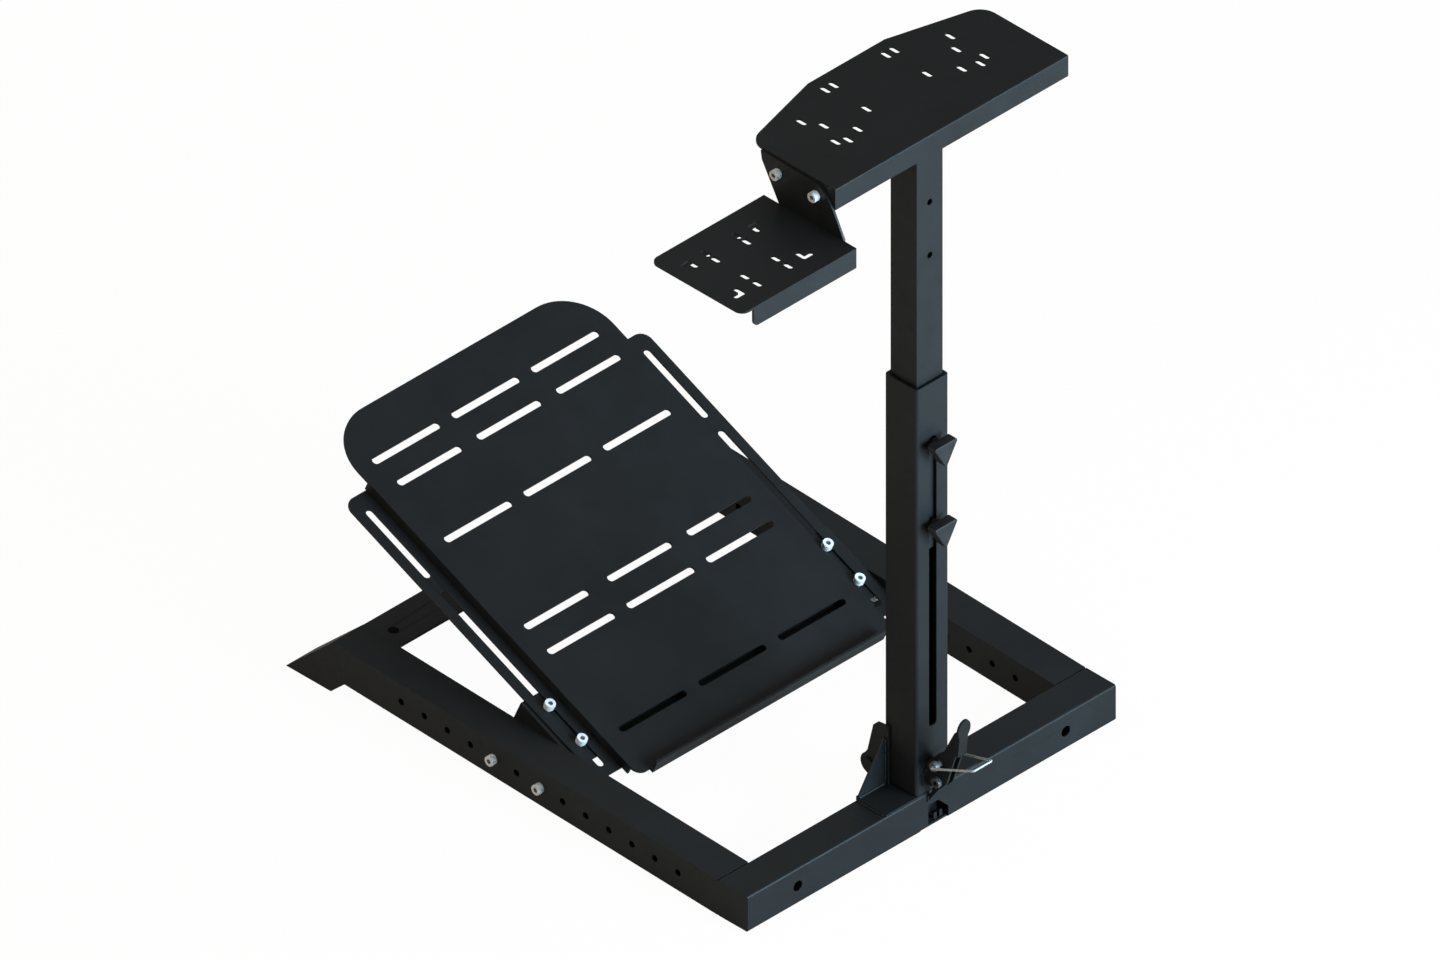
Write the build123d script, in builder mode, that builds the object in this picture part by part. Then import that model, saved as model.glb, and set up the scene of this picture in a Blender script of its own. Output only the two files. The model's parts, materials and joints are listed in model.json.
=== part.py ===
from build123d import *
import os
from math import sin, cos, tan, radians

os.makedirs("parts", exist_ok=True)

# driving sizes in mm: Z up, X to the driver's right, Y away from the driver
tube = 50.0
wall = 2.5
sheet = 3.0
base_half = 300.0
cap_t = 2.5
rail_x = base_half - tube / 2
tilt = radians(2)
foot_angle = radians(43)
rail_end = 652.0
kink_top = (rail_end, tube + tan(tilt) * (rail_end - tube / 2))
kink_low = (rail_end - 19, tan(tilt) * (rail_end - 19 - tube / 2))
rail_hole_r = 4.5
rail_hole_pitch = 37.6
rail_hole_last = rail_end - 111.5
anchor_r = 6.5
anchor_x = 165.0
anchor_y = rail_end + 36
foot_plate_y = (rail_end + 8, rail_end + 69)
base_plate_w = 150.0
bar_hole_r = 7.0
bar_hole_x = 218.5
bolt_r = 4.0
head_r = 6.5
head_h = 8.0

# post and wheel plate sizes
outer = 53.0
outer_wall = 4.0
outer_low = 55.0
outer_top = 628.0
inner = 43.0
inner_wall = 2.5
inner_low = 391.0
cable_heights = (880.0, 805.0)
plate_top = 974.3
slot_half = 6.0
slot_low = 143.0
slot_top = 552.0
knob_heights = {"upper": 541.0, "lower": 427.0}
stud_r = 4.0
fit = 0.05
wheel_x = 36.0
wheel_half = 190.0
wheel_rear = 151.0
wheel_corner = (62.5, 117.0)
wheel_front = -inner / 2
flange_h = 29.3
wheel_slot_r = 3.5
wheel_slot_l = 16.0
wheel_slots = [(121.4, 102.5), (107.9, 79.2), (121.4, 46.9), (107.9, 39.7),
               (85.0, 47.1), (49.35, 68.35), (56.3, 128.5), (42.7, 128.5)]

# shifter plate sizes, hung from the wheel plate
tab_bolts = [(68.7, plate_top - 20.3), (6.7, plate_top - 20.3)]
shift_x = (-343.5, wheel_x - wheel_half - sheet)
shift_y = (-59.0, 92.0)
shift_top = plate_top - 62.3

# fold hinge behind the post and lock pin in front of it
fold_y = 47.0
fold_z = 67.5
fold_r = 5.0
boss_r = 14.5
ear_x = 27.2
knuckle_x = 19.0
latch_x = -5.0
lock_y = -50.0
lock_z = 107.6
lock_r = 4.0
fin_x = 4.0
fin_bolt_at = (-47.5, 80.5)

# pedal plane: origin on the fifth slot row, local y runs up the slope
pedal_angle = 23.77
pc = cos(radians(pedal_angle))
ps = sin(radians(pedal_angle))
pedal_y = 417.2
pedal_z = 116.5
pedal_half = base_half - 91.5
pedal_low = -192.5
pedal_high = 377.0
pedal_corner = 66.0
pedal_slot_w = 9.5
pedal_pitch = 129.6
pedal_rows = [(311.9, 108.0, (0, 0, 0)), (273.5, 102.5, (3, 3, 3)), (183.6, 108.0, (0, 0, 0)),
              (40.9, 102.5, (-3, 3, 3)), (0.0, 108.0, (0, 0, 0)), (-127.6, 108.0, (0, 0, 0))]
side_flange = 13.5
lip_h = 20.0
arm_in = base_half - 100
arm_out = base_half - 55
arm_web_high = -90.0
arm_low = -163.5
arm_high = 292.0
arm_slot_x = base_half - 73.5
carrier_bolt_s = (-53.6, -110.6)
bracket_s = (-135.0, -30.5)
rail_bolt_y = (390.0, 314.0)

pedal_plane = Plane(origin=(0, pedal_y, pedal_z), x_dir=(1, 0, 0), z_dir=(0, -ps, pc))
arm_plane = pedal_plane.offset(-side_flange)


def on_slope(s, o):
    return (pedal_y + s * pc - o * ps, pedal_z + s * ps + o * pc)


def save(shape, label):
    shape.label = label
    export_step(shape, "parts/" + label + ".step")


# front crossbar: square tube with anchor holes, a chamfered cut-out and a bottom notch
with BuildPart() as front_crossbar:
    with BuildSketch(Plane.YZ) as bar_sketch:
        with Locations((0, tube / 2)):
            RectangleRounded(tube, tube, 3)
            Rectangle(tube - 2 * wall, tube - 2 * wall, mode=Mode.SUBTRACT)
    extrude(amount=base_half - cap_t, both=True)
    with BuildSketch(Plane(origin=(0, -tube / 2, tube / 2), x_dir=(1, 0, 0), z_dir=(0, -1, 0))) as bar_cuts:
        with Locations((-bar_hole_x, 0), (bar_hole_x, 0)):
            Circle(bar_hole_r)
        Polygon((-5.8, -25), (27, -25), (27, -9), (10.5, 7.5), (-5.8, 7.5), align=None)
        with Locations((0, -25)):
            Rectangle(36, 7)
    extrude(amount=-wall, mode=Mode.SUBTRACT)
save(front_crossbar.part, "front_crossbar")

# side rails, rear feet and end caps, one set for each side
for side, name in ((-1, "left"), (1, "right")):
    with BuildPart() as end_cap:
        with BuildSketch(Plane.YZ.offset(side * (base_half - cap_t))) as cap_sketch:
            with Locations((0, tube / 2)):
                RectangleRounded(tube, tube, 3)
        extrude(amount=side * cap_t)
    save(end_cap.part, name + "_end_cap")

    with BuildPart() as side_rail:
        with BuildSketch(Plane.YZ.offset(side * rail_x)) as rail_side:
            Polygon((tube / 2, 0), kink_low, kink_top, (tube / 2, tube), align=None)
        extrude(amount=tube / 2, both=True)
        with BuildSketch(Plane.YZ.offset(side * rail_x)) as rail_bore:
            Polygon((tube / 2, wall), (kink_low[0] + 0.4 * wall, kink_low[1] + wall),
                    (kink_top[0] - 0.4 * wall, kink_top[1] - wall), (tube / 2, tube - wall), align=None)
        extrude(amount=tube / 2 - wall, both=True, mode=Mode.SUBTRACT)
        with BuildSketch(Plane.YZ.offset(side * rail_x)) as rail_holes:
            with Locations([(rail_hole_last - rail_hole_pitch * k,
                             tube / 2 + tan(tilt) * (rail_hole_last - rail_hole_pitch * k - tube / 2))
                            for k in range(13)] +
                           [(y, tube / 2 + tan(tilt) * (y - tube / 2)) for y in rail_bolt_y]):
                Circle(rail_hole_r)
        extrude(amount=tube / 2, both=True, mode=Mode.SUBTRACT)
    save(side_rail.part, name + "_side_rail")

    run_top = kink_top[1] / tan(foot_angle)
    run_low = kink_low[1] / tan(foot_angle)
    skew = wall / sin(foot_angle)
    with BuildPart() as rear_foot:
        with BuildSketch(Plane.YZ.offset(side * rail_x)) as foot_side:
            Polygon(kink_low, kink_top, (kink_top[0] + run_top, 0), (kink_low[0] + run_low, 0), align=None)
        extrude(amount=tube / 2, both=True)
        with BuildSketch(Plane.YZ.offset(side * rail_x)) as foot_bore:
            Polygon((kink_low[0] + 0.4 * wall, kink_low[1] + wall),
                    (kink_top[0] - 0.4 * wall, kink_top[1] - wall),
                    (kink_top[0] + run_top - skew, 0), (kink_low[0] + run_low + skew, 0), align=None)
        extrude(amount=tube / 2 - wall, both=True, mode=Mode.SUBTRACT)
    save(rear_foot.part, name + "_rear_foot")

# rear foot plate: a flat bar between the feet with two anchor holes
with BuildPart() as rear_foot_plate:
    with BuildSketch(Plane.XY) as foot_plate_sketch:
        with Locations((0, (foot_plate_y[0] + foot_plate_y[1]) / 2)):
            Rectangle(2 * (base_half - tube), foot_plate_y[1] - foot_plate_y[0])
        with Locations((-anchor_x, anchor_y), (anchor_x, anchor_y)):
            Circle(anchor_r, mode=Mode.SUBTRACT)
    extrude(amount=sheet)
save(rear_foot_plate.part, "rear_foot_plate")

# plastic plugs that close the two rear anchor holes
with BuildPart() as anchor_plugs:
    with BuildSketch(Plane.XY) as plug_sketch:
        with Locations((-anchor_x, anchor_y), (anchor_x, anchor_y)):
            Circle(anchor_r)
    extrude(amount=sheet - 0.6)
save(anchor_plugs.part, "anchor_plugs")

# plate under the post, on top of the crossbar
with BuildPart() as post_base_plate:
    with BuildSketch(Plane.XY.offset(tube)) as base_sketch:
        RectangleRounded(base_plate_w, tube, 2)
    extrude(amount=sheet)
save(post_base_plate.part, "post_base_plate")

# gussets and hinge ears on the base plate
for side, name in ((-1, "left"), (1, "right")):
    with BuildPart() as post_gusset:
        with BuildSketch(Plane.XZ.offset(-24)) as gusset_sketch:
            Polygon((side * (base_plate_w / 2 - 1), tube + sheet), (side * (ear_x + sheet), tube + sheet),
                    (side * (ear_x + sheet), 117), (side * (ear_x + sheet + 2), 117), align=None)
        extrude(amount=sheet)
    save(post_gusset.part, name + "_post_gusset")

    with BuildPart() as hinge_ear:
        with BuildSketch(Plane.YZ.offset(side * ear_x)) as ear_sketch:
            Polygon((16.7, tube + sheet), (16.7, 134), (23.7, 134), (34.2, 132.7), (40.8, 126), (50.1, 86.6),
                    (fold_y + boss_r, fold_z + 2), (fold_y, tube + sheet), align=None)
            with Locations((fold_y, fold_z)):
                Circle(boss_r)
                Circle(fold_r, mode=Mode.SUBTRACT)
        extrude(amount=side * sheet)
    save(hinge_ear.part, name + "_hinge_ear")

# lug on the crossbar whose open-topped notch takes the lock pin
with BuildPart() as lock_lug:
    with BuildSketch(Plane.YZ.offset(latch_x)) as lug_sketch:
        Polygon((-25, 38), (-25, 49), (-31, 55), (-33.5, 66), (-36, 104), (-58, 117), (-65, 112), (-57, 82),
                (-46, 68), (-33, 50), align=None)
        Polygon((lock_y - 4.5, lock_z), (lock_y + 4.5, lock_z), (lock_y + 14, lock_z + 13),
                (lock_y - 4.5, lock_z + 13), align=None, mode=Mode.SUBTRACT)
        with Locations((lock_y, lock_z)):
            Circle(4.5, mode=Mode.SUBTRACT)
    extrude(amount=sheet / 2, both=True)
save(lock_lug.part, "lock_lug")

# fold bolt through both ears and both knuckle plates
with BuildPart() as fold_bolt:
    with BuildSketch(Plane.YZ.offset(-ear_x - sheet)) as fold_sketch:
        with Locations((fold_y, fold_z)):
            Circle(fold_r)
    extrude(amount=2 * (ear_x + sheet) + 8)
    with BuildSketch(Plane.YZ.offset(-ear_x - sheet)) as fold_head:
        with Locations((fold_y, fold_z)):
            RegularPolygon(9, 6)
    extrude(amount=-3)
    with BuildSketch(Plane.YZ.offset(ear_x + sheet)) as fold_nut:
        with Locations((fold_y, fold_z)):
            RegularPolygon(9, 6)
            Circle(fold_r, mode=Mode.SUBTRACT)
    extrude(amount=7)
save(fold_bolt.part, "fold_bolt")

# outer post tube with the long clamp slot in its front wall
with BuildPart() as outer_post:
    with BuildSketch(Plane.XY.offset(outer_low)) as outer_sketch:
        RectangleRounded(outer, outer, 4.5)
        RectangleRounded(outer - 2 * outer_wall, outer - 2 * outer_wall, 1, mode=Mode.SUBTRACT)
    extrude(amount=outer_top - outer_low)
    with BuildSketch(Plane(origin=(0, -outer / 2, 0), x_dir=(1, 0, 0), z_dir=(0, -1, 0))) as outer_slot:
        with Locations((0, (slot_low + slot_top) / 2)):
            SlotOverall(slot_top - slot_low, 2 * slot_half, rotation=90)
    extrude(amount=-outer_wall, mode=Mode.SUBTRACT)
save(outer_post.part, "outer_post_tube")

# knuckle plates behind the post that turn on the fold bolt
with BuildPart() as post_knuckles:
    for side in (-1, 1):
        with BuildSketch(Plane.YZ.offset(side * knuckle_x)) as knuckle_sketch:
            Polygon((outer / 2, fold_z - 9), (fold_y, fold_z - 12), (fold_y + 12, fold_z), (fold_y, fold_z + 12),
                    (outer / 2, 112), align=None)
            with Locations((fold_y, fold_z)):
                Circle(12)
                Circle(fold_r + fit, mode=Mode.SUBTRACT)
        extrude(amount=side * 4)
save(post_knuckles.part, "post_knuckles")

# lock bracket on the front of the post: a folded sheet with a web and two horned fins
with BuildPart() as lock_bracket:
    for side in (-1, 1):
        with BuildSketch(Plane.YZ.offset(latch_x + side * fin_x)) as fin_sketch:
            Polygon((-outer / 2, 66), (-outer / 2, 96), (-34.5, 107), (-55, 124), (-65, 145), (-73, 161),
                    (-79, 166), (-75, 128.6), (-60, 82), (-52, 72), align=None)
            with Locations((lock_y, lock_z)):
                Circle(lock_r, mode=Mode.SUBTRACT)
            with Locations(fin_bolt_at):
                Circle(bolt_r, mode=Mode.SUBTRACT)
        extrude(amount=side * sheet)
    with BuildSketch(Plane.XZ.offset(outer / 2)) as web_sketch:
        Polygon((latch_x - 11, 66), (latch_x + 11, 66), (latch_x + 11, 86), (latch_x + 7, 92), (latch_x - 7, 92),
                (latch_x - 11, 86), align=None)
    extrude(amount=sheet)
save(lock_bracket.part, "lock_bracket")

# lock pin with a collar, and its sprung wire bail snapped over both ends
with BuildPart() as lock_pin:
    with BuildSketch(Plane.YZ.offset(latch_x - 19)) as pin_sketch:
        with Locations((lock_y, lock_z)):
            Circle(lock_r)
    extrude(amount=38)
    with BuildSketch(Plane.YZ.offset(latch_x - 19)) as pin_head:
        with Locations((lock_y, lock_z)):
            Circle(6)
    extrude(amount=6)
save(lock_pin.part, "lock_pin")

bail_r = 1.4
bail_front = (lock_y - 63, lock_z + 24)
with BuildPart() as wire_bail:
    with BuildLine() as bail_path:
        Polyline((latch_x - 19, lock_y, lock_z), (latch_x - 23, lock_y, lock_z), (latch_x - 15, *bail_front),
                 (latch_x + 15, *bail_front), (latch_x + 23, lock_y, lock_z), (latch_x + 19, lock_y, lock_z))
        fillet(bail_path.vertices().filter_by(lambda v: abs(v.X - latch_x) < 16 or abs(v.X - latch_x) > 22), 3)
    with BuildSketch(Plane(origin=(latch_x - 19, lock_y, lock_z), z_dir=(-1, 0, 0))) as bail_wire:
        Circle(bail_r)
    sweep()
save(wire_bail.part, "wire_bail")

# release handle: a flat thumb tab along the front edges of the fins
handle_plane = Plane(origin=(latch_x + 1, -75, 128.6), x_dir=(1, 0, 0), z_dir=(0, -37.4, -4))
with BuildPart() as release_handle:
    with BuildSketch(handle_plane) as handle_sketch:
        with Locations((0, 16)):
            Rectangle(14, 32)
        with Locations((0, 38.5)):
            Ellipse(10, 14)
    extrude(amount=sheet)
save(release_handle.part, "release_handle")

# short bolt in the lower hole of the left fin
with BuildPart() as fin_bolt:
    with BuildSketch(Plane.YZ.offset(latch_x - fin_x)) as fin_shank:
        with Locations(fin_bolt_at):
            Circle(bolt_r)
    extrude(amount=-sheet)
    with BuildSketch(Plane.YZ.offset(latch_x - fin_x - sheet)) as fin_head:
        with Locations(fin_bolt_at):
            Circle(head_r)
            RegularPolygon(3.4, 6, mode=Mode.SUBTRACT)
    extrude(amount=-6)
save(fin_bolt.part, "fin_bolt")

# inner post tube with two cable holes, notched at the top for the wheel plate's front flange
with BuildPart() as inner_post:
    with BuildSketch(Plane.XY.offset(inner_low)) as inner_sketch:
        RectangleRounded(inner, inner, 1)
        Rectangle(inner - 2 * inner_wall, inner - 2 * inner_wall, mode=Mode.SUBTRACT)
    extrude(amount=plate_top - sheet - inner_low)
    with BuildSketch(Plane(origin=(0, -inner / 2, 0), x_dir=(1, 0, 0), z_dir=(0, -1, 0))) as inner_holes:
        with Locations([(0, z) for z in cable_heights]):
            Circle(4.25)
        with Locations([(0, z) for z in knob_heights.values()]):
            Circle(stud_r + fit)
    extrude(amount=-inner_wall, mode=Mode.SUBTRACT)
    with BuildSketch(Plane.XY.offset(plate_top - flange_h)) as inner_notch:
        with Locations((0, wheel_front + sheet / 2)):
            Rectangle(inner, sheet)
    extrude(amount=flange_h, mode=Mode.SUBTRACT)
save(inner_post.part, "inner_post_tube")

# thin guide bush in the mouth of the outer post, a running fit on the inner post
with BuildPart() as post_bush:
    with BuildSketch(Plane.XY.offset(outer_top - 40)) as bush_sketch:
        RectangleRounded(outer - 2 * outer_wall, outer - 2 * outer_wall, 1)
        RectangleRounded(inner + 2 * fit, inner + 2 * fit, 1, mode=Mode.SUBTRACT)
    extrude(amount=39)
save(post_bush.part, "post_bush")

# clamp nuts inside the inner post, and the two clamp knobs with their studs
for name, height in knob_heights.items():
    with BuildPart() as clamp_nut:
        with BuildSketch(Plane(origin=(0, -inner / 2 + inner_wall, height), x_dir=(1, 0, 0),
                               z_dir=(0, 1, 0))) as nut_sketch:
            RegularPolygon(8.5, 6)
            Circle(stud_r + fit, mode=Mode.SUBTRACT)
        extrude(amount=7)
    save(clamp_nut.part, name + "_clamp_nut")

    knob_face = Plane(origin=(0, -49, height), x_dir=(1, 0, 0), z_dir=(0, -1, 0))
    with BuildPart() as clamp_knob:
        with BuildSketch(knob_face) as knob_sketch:
            Polygon((-20.2, 11), (20.2, 11), (0, -23.5), align=None)
            fillet(knob_sketch.vertices(), 3)
        extrude(amount=-13)
        fillet(clamp_knob.faces().sort_by(Axis.Y)[0].edges(), 1.2)
        with BuildSketch(knob_face.offset(-13)) as neck_sketch:
            Circle(9)
        extrude(amount=-8.5)
        with BuildSketch(knob_face.offset(-21.5)) as stud_sketch:
            Circle(stud_r)
        extrude(amount=-16)
    save(clamp_knob.part, name + "_knob")

# wheel plate: one folded sheet with front and side flanges and sixteen slots
with BuildPart() as wheel_plate:
    with BuildSketch(Plane.XY.offset(plate_top - sheet)) as wheel_sketch:
        Polygon((wheel_x - wheel_half, wheel_front), (wheel_x + wheel_half, wheel_front),
                (wheel_x + wheel_half, wheel_corner[1]), (wheel_x + wheel_corner[0], wheel_rear),
                (wheel_x - wheel_corner[0], wheel_rear), (wheel_x - wheel_half, wheel_corner[1]), align=None)
        fillet(wheel_sketch.vertices().filter_by_position(Axis.Y, wheel_corner[1] - 1, wheel_corner[1] + 1), 25)
        with Locations([(wheel_x + m * x, y) for x, y in wheel_slots for m in (-1, 1)]):
            SlotOverall(wheel_slot_l, 2 * wheel_slot_r, rotation=90, mode=Mode.SUBTRACT)
    extrude(amount=sheet)
    with BuildSketch(Plane.XY.offset(plate_top - sheet)) as wheel_flanges:
        with Locations((wheel_x, wheel_front + sheet / 2)):
            Rectangle(2 * wheel_half, sheet)
        with Locations((wheel_x - wheel_half + sheet / 2, 34), (wheel_x + wheel_half - sheet / 2, 34)):
            Rectangle(sheet, 111)
    extrude(amount=-(flange_h - sheet))
    with BuildSketch(Plane.YZ.offset(wheel_x - wheel_half)) as tab_holes:
        with Locations(*tab_bolts):
            Circle(bolt_r + 0.5)
    extrude(amount=sheet, mode=Mode.SUBTRACT)
    fillet(wheel_plate.edges().filter_by(Axis.X).group_by(Axis.Y)[0].sort_by(Axis.Z)[-1], 2)
save(wheel_plate.part, "wheel_plate")

# shifter bracket: one folded sheet with a front flange and an upright tab
with BuildPart() as shifter_bracket:
    with BuildSketch(Plane.XY.offset(shift_top - sheet)) as shift_sketch:
        Polygon((shift_x[0], shift_y[0]), (shift_x[1], shift_y[0]), (shift_x[1], shift_y[1]),
                (shift_x[0], shift_y[1]), align=None)
        fillet(shift_sketch.vertices().group_by(Axis.X)[0], 12)
        with Locations([(x, y) for x in (-287.5, -237.0) for y in (56.5, 40.2, -7.3, -27.6)]):
            SlotOverall(14, 7, rotation=90, mode=Mode.SUBTRACT)
        for cx, mx in ((-313, -1), (-212, 1)):
            for cy, my in ((-29, 1), (57.7, -1)):
                with Locations((cx + mx * 5, cy)):
                    SlotOverall(17, 7, mode=Mode.SUBTRACT)
                with Locations((cx, cy + my * 5)):
                    SlotOverall(17, 7, rotation=90, mode=Mode.SUBTRACT)
    extrude(amount=sheet)
    with BuildSketch(Plane.XZ.offset(-shift_y[0])) as shift_flange:
        Polygon((shift_x[0] + 19, shift_top - sheet), (shift_x[0] + 19, shift_top - 28),
                (shift_x[1], shift_top - 28), (shift_x[1], shift_top - sheet), align=None)
        fillet(shift_flange.vertices().sort_by(Axis.X)[:2].sort_by(Axis.Y)[:1], 8)
    extrude(amount=-sheet)
    with BuildSketch(Plane.YZ.offset(shift_x[1])) as shift_tab:
        Polygon((-38, shift_top - sheet), (68, shift_top - sheet), (68, shift_top), (88.5, plate_top - 26.3),
                (95.5, plate_top - 14), (97.5, plate_top - 2), (2, plate_top - 4.3), (-10, plate_top - 14.3),
                (-21, plate_top - 29.3), (-38, shift_top), align=None)
        with Locations(*tab_bolts):
            Circle(bolt_r + 0.5, mode=Mode.SUBTRACT)
    extrude(amount=sheet)
save(shifter_bracket.part, "shifter_bracket")

# shifter bolts: cap screws through the tab and the wheel plate's side flange
with BuildPart() as shifter_bolts:
    with BuildSketch(Plane.YZ.offset(shift_x[1])) as shift_heads:
        with Locations(*tab_bolts):
            Circle(head_r)
            RegularPolygon(3.4, 6, mode=Mode.SUBTRACT)
    extrude(amount=-head_h)
    with BuildSketch(Plane.YZ.offset(shift_x[1] - 4)) as shift_shanks:
        with Locations(*tab_bolts):
            Circle(bolt_r)
    extrude(amount=4 + 2 * sheet + 9)
    with BuildSketch(Plane.YZ.offset(shift_x[1] + 2 * sheet)) as shift_nuts:
        with Locations(*tab_bolts):
            RegularPolygon(7.5, 6)
    extrude(amount=6.5)
save(shifter_bolts.part, "shifter_bolts")

# pedal plate: sheet with folded side flanges, a rear flange, a heel lip and six rows of slots
with BuildPart() as pedal_plate:
    with BuildSketch(pedal_plane) as pedal_sketch:
        Polygon((-pedal_half, pedal_low + 5), (pedal_half, pedal_low + 5), (pedal_half, pedal_high),
                (-pedal_half, pedal_high), align=None)
        fillet(pedal_sketch.vertices().group_by(Axis.Y)[-1], pedal_corner)
        fillet(pedal_sketch.vertices().group_by(Axis.Y)[0], 14)
        with Locations((0, pedal_low + 10)):
            Rectangle(2 * pedal_half - 40, 20)
        for s, length, shift in pedal_rows:
            with Locations([((k - 1) * pedal_pitch + shift[k], s) for k in range(3)]):
                SlotOverall(length, pedal_slot_w, mode=Mode.SUBTRACT)
    extrude(amount=-sheet)
    with BuildSketch(pedal_plane.offset(-sheet)) as pedal_flanges:
        with Locations((-pedal_half + sheet / 2, 60), (pedal_half - sheet / 2, 60)):
            Rectangle(sheet, 468)
        with Locations((0, pedal_high - sheet / 2)):
            Rectangle(280, sheet)
    extrude(amount=-(side_flange - sheet))
    with BuildSketch(pedal_plane.offset(-sheet)) as pedal_lip:
        with Locations((0, pedal_low + sheet / 2)):
            Rectangle(2 * pedal_half - 40, sheet)
    extrude(amount=lip_h)
save(pedal_plate.part, "pedal_plate")

# pedal carrier: a U-shaped plate under the pedal plate with two long slots in each arm
with BuildPart() as pedal_carrier:
    with BuildSketch(arm_plane) as carrier_sketch:
        with Locations((0, (arm_low + arm_high) / 2)):
            RectangleRounded(2 * arm_out, arm_high - arm_low, 15)
        with Locations((0, arm_web_high + 240)):
            Rectangle(2 * arm_in, 480, mode=Mode.SUBTRACT)
        for side in (-1, 1):
            with Locations((side * arm_slot_x, 214.2)):
                SlotOverall(110, pedal_slot_w, rotation=90, mode=Mode.SUBTRACT)
            with Locations((side * arm_slot_x, -6.5)):
                SlotOverall(286.4, pedal_slot_w, rotation=90, mode=Mode.SUBTRACT)
    extrude(amount=-sheet)
save(pedal_carrier.part, "pedal_carrier")

# angle brackets on the rails' inner faces, with their bolts
for side, name in ((-1, "left"), (1, "right")):
    with BuildPart() as pedal_bracket:
        with BuildSketch(Plane.YZ.offset(side * (base_half - tube))) as bracket_side:
            Polygon(on_slope(bracket_s[1], -side_flange - sheet), on_slope(bracket_s[0], -side_flange - sheet),
                    (on_slope(bracket_s[0], -side_flange - sheet)[0], 20), (396, 20), on_slope(bracket_s[1], -66),
                    align=None)
            with Locations([(y, tube / 2 + tan(tilt) * (y - tube / 2)) for y in rail_bolt_y]):
                Circle(rail_hole_r, mode=Mode.SUBTRACT)
        extrude(amount=-side * sheet)
        with BuildSketch(arm_plane.offset(-sheet)) as bracket_top:
            with Locations((side * (base_half - tube - 24), (bracket_s[0] + bracket_s[1]) / 2)):
                Rectangle(48, bracket_s[1] - bracket_s[0])
            with Locations([(side * arm_slot_x, s) for s in carrier_bolt_s]):
                Circle(bolt_r + 0.5, mode=Mode.SUBTRACT)
        extrude(amount=-sheet)
    save(pedal_bracket.part, name + "_pedal_bracket")

    with BuildPart() as rail_bolts:
        for y in rail_bolt_y:
            z = tube / 2 + tan(tilt) * (y - tube / 2)
            with BuildSketch(Plane.YZ.offset(side * base_half)) as bolt_head:
                with Locations((y, z)):
                    Circle(head_r)
                    RegularPolygon(3.4, 6, mode=Mode.SUBTRACT)
            extrude(amount=side * head_h)
            with BuildSketch(Plane.YZ.offset(side * (base_half + 4))) as bolt_shank:
                with Locations((y, z)):
                    Circle(bolt_r)
            extrude(amount=-side * (tube + 4 + sheet + 9))
            with BuildSketch(Plane.YZ.offset(side * (base_half - tube - sheet))) as bolt_nut:
                with Locations((y, z)):
                    RegularPolygon(7.5, 6)
            extrude(amount=-side * 6.5)
    save(rail_bolts.part, name + "_rail_bolts")

    with BuildPart() as carrier_bolts:
        for s in carrier_bolt_s:
            with BuildSketch(arm_plane) as screw_head:
                with Locations((side * arm_slot_x, s)):
                    Circle(head_r)
                    RegularPolygon(3.4, 6, mode=Mode.SUBTRACT)
            extrude(amount=head_h)
            with BuildSketch(arm_plane.offset(4)) as screw_shank:
                with Locations((side * arm_slot_x, s)):
                    Circle(bolt_r)
            extrude(amount=-(4 + 2 * sheet + 9))
            with BuildSketch(arm_plane.offset(-2 * sheet)) as screw_nut:
                with Locations((side * arm_slot_x, s)):
                    RegularPolygon(7.5, 6)
            extrude(amount=-6.5)
    save(carrier_bolts.part, name + "_carrier_bolts")
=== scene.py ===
import json
import math
import bmesh
import bpy
from mathutils import Matrix, Vector


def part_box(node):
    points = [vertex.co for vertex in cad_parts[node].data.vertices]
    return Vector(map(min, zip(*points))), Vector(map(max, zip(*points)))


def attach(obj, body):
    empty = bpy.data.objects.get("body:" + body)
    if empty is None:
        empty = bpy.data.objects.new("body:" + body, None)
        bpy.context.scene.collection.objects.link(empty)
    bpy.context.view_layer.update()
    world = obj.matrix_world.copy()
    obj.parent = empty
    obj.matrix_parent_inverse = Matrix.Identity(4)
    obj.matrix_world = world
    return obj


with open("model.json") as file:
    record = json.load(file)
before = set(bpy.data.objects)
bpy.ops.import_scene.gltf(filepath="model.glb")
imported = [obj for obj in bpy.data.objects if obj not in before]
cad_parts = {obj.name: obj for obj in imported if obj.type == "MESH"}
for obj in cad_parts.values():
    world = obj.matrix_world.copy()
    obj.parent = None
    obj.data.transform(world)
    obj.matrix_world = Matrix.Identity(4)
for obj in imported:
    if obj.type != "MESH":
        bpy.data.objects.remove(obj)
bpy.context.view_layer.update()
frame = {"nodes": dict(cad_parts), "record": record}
nodes = frame["nodes"]
mm = 0.001
sides = (-1, 1)
print("frame loaded")


# Every finish reads Object coordinates, so its marks stay put on the piece

def startMaterial(name):
    material = bpy.data.materials.new(name)
    material.use_nodes = True
    tree = material.node_tree
    return material, tree, tree.nodes["Principled BSDF"]


def addNoise(tree, scale, detail, roughness=0.5):
    coords = tree.nodes.new("ShaderNodeTexCoord")
    noise = tree.nodes.new("ShaderNodeTexNoise")
    noise.inputs["Scale"].default_value = scale
    noise.inputs["Detail"].default_value = detail
    noise.inputs["Roughness"].default_value = roughness
    tree.links.new(coords.outputs["Object"], noise.inputs["Vector"])
    return noise.outputs["Fac"]


def addRamp(tree, factor, low, high, dark, light):
    ramp = tree.nodes.new("ShaderNodeValToRGB")
    ramp.color_ramp.elements[0].position = low
    ramp.color_ramp.elements[0].color = (*dark, 1)
    ramp.color_ramp.elements[1].position = high
    ramp.color_ramp.elements[1].color = (*light, 1)
    tree.links.new(factor, ramp.inputs["Fac"])
    return ramp.outputs["Color"]


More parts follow.
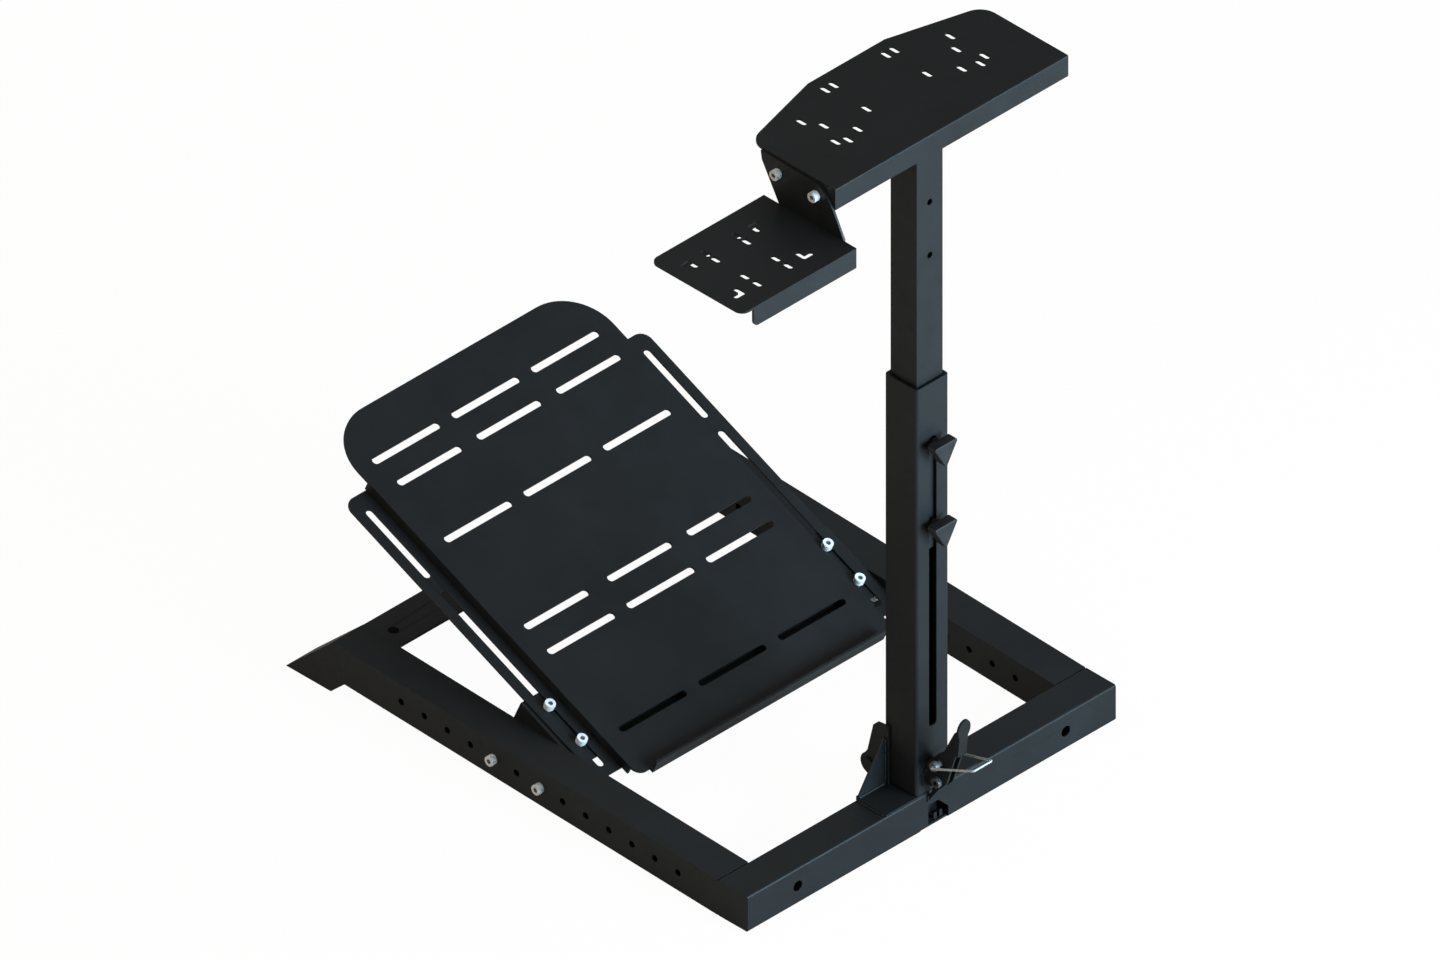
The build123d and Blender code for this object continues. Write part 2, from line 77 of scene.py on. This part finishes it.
def addRange(tree, factor, low, high, fromLow=0.3, fromHigh=0.7):
    spread = tree.nodes.new("ShaderNodeMapRange")
    spread.inputs["From Min"].default_value = fromLow
    spread.inputs["From Max"].default_value = fromHigh
    spread.inputs["To Min"].default_value = low
    spread.inputs["To Max"].default_value = high
    tree.links.new(factor, spread.inputs["Value"])
    return spread.outputs["Result"]


def addBump(tree, shader, height, strength, distance):
    bump = tree.nodes.new("ShaderNodeBump")
    bump.inputs["Strength"].default_value = strength
    bump.inputs["Distance"].default_value = distance
    tree.links.new(height, bump.inputs["Height"])
    tree.links.new(bump.outputs["Normal"], shader.inputs["Normal"])


def toned(colour, tone):
    return tuple(channel * tone for channel in colour)


# Satin powder coat: fine orange peel, faint clouds, and small rubs where the coat has gone paler
# (each noise is its scale, detail and roughness)
powderCoat = {
    "dark": (0.0098, 0.0106, 0.0108), "light": (0.0150, 0.0162, 0.0168),
    "clouds": (7, 5, 0.6), "cloudEdges": (0.3, 0.72),
    "rub": (0.045, 0.046, 0.046), "rubs": (55, 8, 0.75), "rubShare": 0.5, "rubEdges": (0.69, 0.80),
    "scuffs": (38, 6, 0.7), "smooth": 0.36, "dull": 0.52, "specular": 0.24,
    "peel": (900, 2), "peelStrength": 0.12, "peelDepth": 0.0002,
}


def makePowderCoat(name, tone=1.0):
    material, tree, shader = startMaterial(name)
    clouds = addRamp(tree, addNoise(tree, *powderCoat["clouds"]), *powderCoat["cloudEdges"],
                     toned(powderCoat["dark"], tone), toned(powderCoat["light"], tone))
    rubs = addRange(tree, addNoise(tree, *powderCoat["rubs"]), 0.0, powderCoat["rubShare"], *powderCoat["rubEdges"])
    blend = tree.nodes.new("ShaderNodeMixRGB")
    blend.inputs["Color2"].default_value = (*toned(powderCoat["rub"], tone), 1)
    tree.links.new(rubs, blend.inputs["Fac"])
    tree.links.new(clouds, blend.inputs["Color1"])
    tree.links.new(blend.outputs["Color"], shader.inputs["Base Color"])
    scuffs = addNoise(tree, *powderCoat["scuffs"])
    tree.links.new(addRange(tree, scuffs, powderCoat["smooth"], powderCoat["dull"]), shader.inputs["Roughness"])
    shader.inputs["Specular IOR Level"].default_value = powderCoat["specular"] * tone
    peel = addNoise(tree, *powderCoat["peel"])
    addBump(tree, shader, peel, powderCoat["peelStrength"], powderCoat["peelDepth"])
    return material


# The mottled finishes: zinc plate on the screws and the latch, and two black plastics
zincPlate = {
    "dark": (0.78, 0.78, 0.76), "light": (0.97, 0.97, 0.95), "mottle": (160, 6, 0.65), "edges": (0.25, 0.6),
    "smooth": 0.26, "dull": 0.42, "metal": 0.04, "specular": 0.5,
    "grain": (1400, 3), "grainStrength": 0.08, "grainDepth": 0.0001,
}
latchZinc = {**zincPlate, "metal": 0.2}
mouldedBlack = {  # knobs and the guide bush
    "dark": (0.008, 0.008, 0.008), "light": (0.016, 0.016, 0.017), "mottle": (90, 4, 0.6), "edges": (0.3, 0.7),
    "smooth": 0.40, "dull": 0.60, "metal": 0.0, "specular": 0.4,
    "grain": (1800, 2), "grainStrength": 0.15, "grainDepth": 0.0001,
}
plugBlackPaintedShade = {  # the plugs sunk in the rear anchor holes, near-black so the holes read dark: painted shade
    "dark": (0.0022, 0.0022, 0.0022), "light": (0.00396, 0.00396, 0.00396), "mottle": (400, 3), "edges": (0.3, 0.7),
    "smooth": 0.75, "dull": 0.95, "metal": 0.0, "specular": 0.08,
    "grain": (400, 3), "grainStrength": 0.2, "grainDepth": 0.0002,
}


def makeMottledFinish(name, facts, tone=1.0):
    material, tree, shader = startMaterial(name)
    mottle = addNoise(tree, *facts["mottle"])
    colour = addRamp(tree, mottle, *facts["edges"], toned(facts["dark"], tone), toned(facts["light"], tone))
    tree.links.new(colour, shader.inputs["Base Color"])
    tree.links.new(addRange(tree, mottle, facts["smooth"], facts["dull"]), shader.inputs["Roughness"])
    shader.inputs["Metallic"].default_value = facts["metal"]
    shader.inputs["Specular IOR Level"].default_value = facts["specular"]
    addBump(tree, shader, addNoise(tree, *facts["grain"]), facts["grainStrength"], facts["grainDepth"])
    return material


satinPaint = makePowderCoat("satinPowderCoat")
brightZinc = makeMottledFinish("zincPlatedSteel", zincPlate)
# zinc at a tenth of its tone: the fin bolt's dark zinc, and painted shade in the screw sockets
darkZincAndSocketShade = makeMottledFinish("darkZincSteelAndSocketShade", latchZinc, 0.10)
finishes = {"dark_paint": satinPaint, "bright_steel": brightZinc,
            "black_plastic": makeMottledFinish("mouldedBlackPlastic", mouldedBlack)}
ownFinishes = {  # pieces that differ from their slot's finish
    "lock_pin": makeMottledFinish("greyZincSteel", latchZinc, 0.17),
    "fin_bolt": darkZincAndSocketShade,
    "wire_bail": makeMottledFinish("springWire", latchZinc, 0.6),
    # the anchor plugs' near-black stands in for the shade inside the holes: painted shade
    "anchor_plugs": makeMottledFinish("matteBlackPlugPaintedShade", plugBlackPaintedShade),
}
print("finishes made")


edgeBreak = {"join": 0.02 * mm, "width": 0.7 * mm, "segments": 2, "angle": math.radians(35),
             "crease": math.radians(32), "flatWeight": 100}
slotOf = {piece["node"]: piece["material_slot"] for piece in frame["record"]["subparts"]}


def dressNode(name):
    piece = nodes[name]
    piece.data.materials.clear()
    piece.data.materials.append(ownFinishes.get(name, finishes[slotOf[name]]))
    weld = piece.modifiers.new("join", "WELD")
    weld.merge_threshold = edgeBreak["join"]
    bevel = piece.modifiers.new("brokenEdges", "BEVEL")
    bevel.width = edgeBreak["width"]
    bevel.segments = edgeBreak["segments"]
    bevel.limit_method = "ANGLE"
    bevel.angle_limit = edgeBreak["angle"]
    bevel.use_clamp_overlap = True
    crease = piece.modifiers.new("creases", "EDGE_SPLIT")  # round walls shade smoothly, folds stay crisp
    crease.split_angle = edgeBreak["crease"]
    level = piece.modifiers.new("levelFlats", "WEIGHTED_NORMAL")  # large flats stay flat beside broken edges
    level.mode = "FACE_AREA"
    level.weight = edgeBreak["flatWeight"]
    level.keep_sharp = True
    if "custom_normal" in piece.data.attributes:
        piece.data.attributes.remove(piece.data.attributes["custom_normal"])
    for face in piece.data.polygons:
        face.use_smooth = True


for nodeName in nodes:
    dressNode(nodeName)
print("CAD pieces dressed")


def makeFinishedPiece(name, shape, finish, body):
    bmesh.ops.recalc_face_normals(shape, faces=shape.faces)
    mesh = bpy.data.meshes.new(name)
    shape.to_mesh(mesh)
    shape.free()
    mesh.materials.append(finish)
    piece = bpy.data.objects.new(name, mesh)
    bpy.context.scene.collection.objects.link(piece)
    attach(piece, body)


def addBlock(shape, low, high):
    low, high = Vector(low) * mm, Vector(high) * mm
    place = Matrix.Translation((low + high) / 2) @ Matrix.Diagonal((*(high - low), 1))
    bmesh.ops.create_cube(shape, size=1.0, matrix=place)


def softenEdges(shape, edges, offset, segments):
    bmesh.ops.bevel(shape, geom=edges, offset=offset * mm, segments=segments, profile=0.5,
                    affect="EDGES", material=-1)


# Weld beads under the paint: a ring pushed along each seam, swelling and shrinking in ripples
weldBead = {"radius": 1.7, "step": 0.8, "sides": 8, "fewestSteps": 4,
            "ripple": 0.16, "rippleTurn": 1.7, "drift": 0.06, "driftTurn": 0.37}
baseSeams = [
    *[((m * 31, 21, 53.4), (m * 73, 21, 53.4)) for m in sides],  # gussets on the post's base plate, front
    *[((m * 31, 24, 53.4), (m * 73, 24, 53.4)) for m in sides],  # and behind
    *[((m * 30.6, 21, 56), (m * 30.6, 21, 115)) for m in sides],  # gussets on the hinge ears
    *[((m * 75, -21, 50.4), (m * 75, 21, 50.4)) for m in sides],  # ends of the base plate on the crossbar
    *[((m * 250, 25.2, 4), (m * 250, 25.2, 46)) for m in sides],  # side rails on the crossbar
    *[((m * 250, 663, 3.2), (m * 250, 718, 3.2)) for m in sides],  # rear foot plate
    *[((x, -25.3, 39), (x, -25.3, 47)) for x in (-6.8, -3.2)],  # both sides of the lock's lug
]
columnSeams = [
    *[((x, -26.8, 67), (x, -26.8, 84)) for x in (-16.3, 6.3)],  # lock bracket on the outer post
    *[((x, 26.8, 60), (x, 26.8, 110)) for x in (-23.3, -18.7, 18.7, 23.3)],  # both sides of each knuckle
]
headSeams = [
    *[((m * 21.8, -17, 970.8), (m * 21.8, 20, 970.8)) for m in sides],  # inner post under the wheel plate
    ((-20, 21.8, 970.8), (20, 21.8, 970.8)),
]


def addBead(shape, start, end):
    start, end = Vector(start) * mm, Vector(end) * mm
    along = end - start
    count = max(weldBead["fewestSteps"], int(along.length / (weldBead["step"] * mm)))
    place = Matrix.Translation(start) @ along.to_track_quat("Z", "Y").to_matrix().to_4x4()
    first = bmesh.ops.create_circle(shape, cap_ends=False, segments=weldBead["sides"],
                                    radius=weldBead["radius"] * mm, matrix=place)["verts"]
    ring = list({edge for vert in first for edge in vert.link_edges})
    ends = list(ring)
    size = 1.0
    for k in range(1, count + 1):
        grown = bmesh.ops.extrude_edge_only(shape, edges=ring)["geom"]
        verts = [part for part in grown if isinstance(part, bmesh.types.BMVert)]
        ring = [part for part in grown if isinstance(part, bmesh.types.BMEdge)]
        bmesh.ops.translate(shape, verts=verts, vec=along / count)
        nextSize = (1.0 + weldBead["ripple"] * math.sin(k * weldBead["rippleTurn"])
                    + weldBead["drift"] * math.sin(k * weldBead["driftTurn"]))
        centre = start + along * (k / count)
        bmesh.ops.scale(shape, verts=verts, vec=(nextSize / size,) * 3, space=Matrix.Translation(-centre))
        size = nextSize
    bmesh.ops.holes_fill(shape, edges=ends + ring, sides=0)


def makeWelds(body, seams):
    shape = bmesh.new()
    for start, end in seams:
        addBead(shape, start, end)
    for face in shape.faces:
        face.smooth = True
    makeFinishedPiece(body + "Welds", shape, satinPaint, body)


makeWelds("base", baseSeams)
makeWelds("column", columnSeams)
makeWelds("head", headSeams)
print("weld beads laid")


# Cap screws: fine knurling round every head, and a dark disc in its six-sided socket that is painted shade for the
# socket's depth
knurl = {"ribs": 40, "headRadius": 6.5, "rise": 0.16, "width": 0.52, "length": 6.0}
# the socket disc is dark only to stand in for the shade deep in the socket: painted shade
socketShadeDisc = {"radius": 3.3, "fromMiddle": 1.8, "thick": 2.6, "segments": 24}
railScrews = {"out": 304.4, "places": ((390.0, 37.75), (314.0, 35.09))}
deckScrews = {"out": 226.5, "tilt": math.radians(23.77), "deckTop": (417.2, 116.5), "below": 9.9,
              "along": (-53.6, -110.6)}
shifterScrews = {"out": -160.6, "high": 954.0, "places": (68.7, 6.7)}


def findHeads():
    tilt = deckScrews["tilt"]
    deckNormal = Vector((0, -math.sin(tilt), math.cos(tilt)))
    deckAlong = Vector((0, math.cos(tilt), math.sin(tilt)))
    deckMiddles = [Vector((0, *deckScrews["deckTop"])) + deckAlong * s - deckNormal * deckScrews["below"]
                   for s in deckScrews["along"]]
    return {
        "railScrew": ("base", [((m * railScrews["out"], y, z), (m, 0, 0))
                               for y, z in railScrews["places"] for m in sides]),
        "deckScrew": ("base", [((m * deckScrews["out"], middle.y, middle.z), deckNormal)
                               for middle in deckMiddles for m in sides]),
        "shifterScrew": ("head", [((shifterScrews["out"], y, shifterScrews["high"]), (-1, 0, 0))
                                  for y in shifterScrews["places"]]),
    }


def addKnurl(shape, centre, turn):
    size = Matrix.Diagonal((2 * knurl["rise"] * mm, knurl["width"] * mm, knurl["length"] * mm, 1))
    out = Matrix.Translation((knurl["headRadius"] * mm, 0, 0))
    for k in range(knurl["ribs"]):
        spin = Matrix.Rotation(2 * math.pi * k / knurl["ribs"], 4, "Z")
        place = Matrix.Translation(centre * mm) @ turn @ spin @ out @ size
        bmesh.ops.create_cube(shape, size=1.0, matrix=place)


def addSocketShadeDisc(shape, centre, turn):
    radius = socketShadeDisc["radius"] * mm
    rise = Matrix.Translation((0, 0, socketShadeDisc["fromMiddle"] * mm))
    bmesh.ops.create_cone(shape, cap_ends=True, segments=socketShadeDisc["segments"], radius1=radius, radius2=radius,
                          depth=socketShadeDisc["thick"] * mm, matrix=Matrix.Translation(centre * mm) @ turn @ rise)


def makeHeadDetails(name, body, heads):
    ribs, shadeDiscs = bmesh.new(), bmesh.new()
    for centre, axis in heads:
        turn = Vector(axis).to_track_quat("Z", "Y").to_matrix().to_4x4()
        addKnurl(ribs, Vector(centre), turn)
        addSocketShadeDisc(shadeDiscs, Vector(centre), turn)
    makeFinishedPiece(name + "Knurls", ribs, brightZinc, body)
    # dark discs in the sockets: painted shade
    makeFinishedPiece(name + "SocketShadeDiscs", shadeDiscs, darkZincAndSocketShade, body)


for screwName, (bodyName, heads) in findHeads().items():
    makeHeadDetails(screwName, bodyName, heads)
print("screw heads knurled")


# Return flange under the shifter plate's rear edge: it shows as the dark part of the rear slots, with its coat
# darkened to three tenths as painted shade
rearFlange = {"fromLeft": 39.5, "depth": 151.0, "underWheelTop": 65.3, "drop": 34.0, "sheet": 3.0,
              "corner": 9.0, "cornerSteps": 8, "soft": 0.6, "softSteps": 2, "sharperThan": 1.0, "tone": 0.3}


def makeRearFlange():
    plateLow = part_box("shifter_bracket")[0] / mm
    wheelLow, wheelHigh = (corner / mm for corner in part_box("wheel_plate"))
    left, rear = plateLow.x + rearFlange["fromLeft"], plateLow.y + rearFlange["depth"]
    top = wheelHigh.z - rearFlange["underWheelTop"]
    shape = bmesh.new()
    addBlock(shape, (left, rear - rearFlange["sheet"], top - rearFlange["drop"]), (wheelLow.x, rear, top))
    lowLeft = [edge for edge in shape.edges
               if all(vert.co.x < (left + 1) * mm and vert.co.z < (top - 1) * mm for vert in edge.verts)]
    softenEdges(shape, lowLeft, rearFlange["corner"], rearFlange["cornerSteps"])
    rims = [edge for edge in shape.edges
            if len(edge.link_faces) == 2 and edge.calc_face_angle() > rearFlange["sharperThan"]]
    softenEdges(shape, rims, rearFlange["soft"], rearFlange["softSteps"])
    # a darker copy of the powder coat, painted shade for the flange seen through the slots
    shadedPaint = makePowderCoat("shadedPowderCoat", rearFlange["tone"])
    makeFinishedPiece("shifterRearFlange", shape, shadedPaint, "head")


# Two small tabs stand on the crossbar's floor inside its front cut-out, with a sheet behind them
floorTabs = {"places": (11.5, 20.5), "width": 5.0, "height": 11.0, "sheet": 2.0, "inside": -19.0, "wall": 2.5,
             "round": 1.6, "roundSteps": 4, "backInside": -6.0, "backBeside": 6.0, "backHeight": 24.0}


def makeFloorTabs():
    shape = bmesh.new()
    front, half = floorTabs["inside"], floorTabs["width"] / 2
    for middle in floorTabs["places"]:
        addBlock(shape, (middle - half, front, floorTabs["wall"]),
                 (middle + half, front + floorTabs["sheet"], floorTabs["height"]))
    tops = [edge for edge in shape.edges if abs(edge.verts[0].co.y - edge.verts[1].co.y) > mm
            and all(vert.co.z > floorTabs["height"] / 2 * mm for vert in edge.verts)]
    softenEdges(shape, tops, floorTabs["round"], floorTabs["roundSteps"])
    first, last = floorTabs["places"]
    back, beside = floorTabs["backInside"], floorTabs["backBeside"]
    addBlock(shape, (first - beside, back, floorTabs["wall"]),
             (last + beside, back + floorTabs["sheet"], floorTabs["backHeight"]))
    makeFinishedPiece("cutOutTabs", shape, satinPaint, "base")


makeRearFlange()
makeFloorTabs()
print("small sheet pieces made")


# White stands behind the object for the lens, and part of it shows in the steel and the paint's sheen
whiteShare = {"floor": 0.93, "surround": 1.0, "gloss": 0.14}


def addWhiteShare(tree, lensShare):
    rays = tree.nodes.new("ShaderNodeLightPath")
    shares = {"Is Camera Ray": lensShare, "Is Glossy Ray": whiteShare["gloss"], "Is Transmission Ray": lensShare}
    total = None
    for ray, share in shares.items():
        part = tree.nodes.new("ShaderNodeMath")
        part.operation = "MULTIPLY_ADD"
        part.use_clamp = True
        part.inputs[1].default_value = share
        part.inputs[2].default_value = 0.0
        tree.links.new(rays.outputs[ray], part.inputs[0])
        if total:
            tree.links.new(total, part.inputs[2])
        total = part.outputs["Value"]
    return total


floorFacts = {"half": 12.0, "under": -0.0005, "colour": (0.50, 0.44, 0.36), "rough": 0.9, "glow": 1.045}


def makeFloor():
    mesh = bpy.data.meshes.new("paleFloor")
    shape = bmesh.new()
    bmesh.ops.create_grid(shape, x_segments=1, y_segments=1, size=floorFacts["half"])
    shape.to_mesh(mesh)
    shape.free()
    floor = bpy.data.objects.new("paleFloor", mesh)
    bpy.context.scene.collection.objects.link(floor)
    floor.location.z = floorFacts["under"]
    material, tree, shader = startMaterial("paleFloor")
    shader.inputs["Base Color"].default_value = (*floorFacts["colour"], 1)
    shader.inputs["Roughness"].default_value = floorFacts["rough"]
    glow = tree.nodes.new("ShaderNodeEmission")
    glow.inputs["Strength"].default_value = floorFacts["glow"]
    blend = tree.nodes.new("ShaderNodeMixShader")
    tree.links.new(addWhiteShare(tree, whiteShare["floor"]), blend.inputs["Fac"])
    tree.links.new(shader.outputs["BSDF"], blend.inputs[1])
    tree.links.new(glow.outputs["Emission"], blend.inputs[2])
    tree.links.new(blend.outputs["Shader"], tree.nodes["Material Output"].inputs["Surface"])
    mesh.materials.append(material)


# The surround is dimmer and warmer on the driver's left, as the photograph's shaded faces are
surroundFacts = {"left": (0.016, 0.010, 0.004), "right": (0.17, 0.168, 0.165), "turnsAt": (-0.7, 0.3)}


def makeSurround():
    world = bpy.data.worlds.new("whiteSurround")
    bpy.context.scene.world = world
    world.use_nodes = True
    tree = world.node_tree
    background = tree.nodes["Background"]
    white = tree.nodes.new("ShaderNodeBackground")
    white.inputs["Color"].default_value = (1, 1, 1, 1)
    coords = tree.nodes.new("ShaderNodeTexCoord")
    split = tree.nodes.new("ShaderNodeSeparateXYZ")
    tree.links.new(coords.outputs["Generated"], split.inputs["Vector"])
    across = addRange(tree, split.outputs["X"], 0.0, 1.0, *surroundFacts["turnsAt"])
    colour = addRamp(tree, across, 0.0, 1.0, surroundFacts["left"], surroundFacts["right"])
    tree.links.new(colour, background.inputs["Color"])
    blend = tree.nodes.new("ShaderNodeMixShader")
    tree.links.new(addWhiteShare(tree, whiteShare["surround"]), blend.inputs["Fac"])
    tree.links.new(background.outputs["Background"], blend.inputs[1])
    tree.links.new(white.outputs["Background"], blend.inputs[2])
    tree.links.new(blend.outputs["Shader"], tree.nodes["World Output"].inputs["Surface"])


lampAim = (0, 0.3, 0.4)
lamps = {
    "driverSide": {"at": (0.9, -3.5, 0.82), "aim": lampAim, "size": 2.6, "power": 444, "colour": (0.56, 0.80, 1.0)},
    "overhead": {"at": (-0.7, 0.9, 3.4), "aim": (0, 0.4, 0.1), "size": 2.2, "power": 20, "colour": (1.0, 0.95, 0.88)},
    "rearFill": {"at": (-0.9, 4.0, 0.8), "aim": lampAim, "size": 1.8, "power": 26, "colour": (1.0, 0.97, 0.93)},
    "rightFill": {"at": (4.0, -0.7, 0.8), "aim": lampAim, "size": 1.8, "power": 30, "colour": (0.90, 0.95, 1.0)},
    "leftSide": {"at": (-3.6, 0.8, 1.2), "aim": lampAim, "size": 2.0, "power": 24, "colour": (1.0, 0.93, 0.80)},
}


def makeLamp(name, facts):
    lamp = bpy.data.lights.new(name, "AREA")
    lamp.shape = "SQUARE"
    lamp.size = facts["size"]
    lamp.energy = facts["power"]
    lamp.color = facts["colour"]
    holder = bpy.data.objects.new(name, lamp)
    bpy.context.scene.collection.objects.link(holder)
    holder.location = facts["at"]
    holder.rotation_euler = (Vector(facts["aim"]) - holder.location).to_track_quat("-Z", "Y").to_euler()


# The photograph is an even isometric view, so the lens is parallel and looks down at 35.26 degrees
cameraFacts = {"aim": (0.0163, 0.3369, 0.300), "from": (-1, -1, 1), "away": 3.2, "width": 1.6605, "sees": 50}


def makeCamera():
    lens = bpy.data.cameras.new("isometricLens")
    lens.type = "ORTHO"
    lens.ortho_scale = cameraFacts["width"]
    lens.clip_end = cameraFacts["sees"]
    camera = bpy.data.objects.new("isometricCamera", lens)
    bpy.context.scene.collection.objects.link(camera)
    aim = Vector(cameraFacts["aim"])
    camera.location = aim + Vector(cameraFacts["from"]).normalized() * cameraFacts["away"]
    camera.rotation_euler = (aim - camera.location).to_track_quat("-Z", "Y").to_euler()
    bpy.context.scene.camera = camera


makeFloor()
makeSurround()
for lampName, lampFacts in lamps.items():
    makeLamp(lampName, lampFacts)
makeCamera()
bpy.context.scene.view_settings.view_transform = "Standard"
print("room, lamps and camera ready")
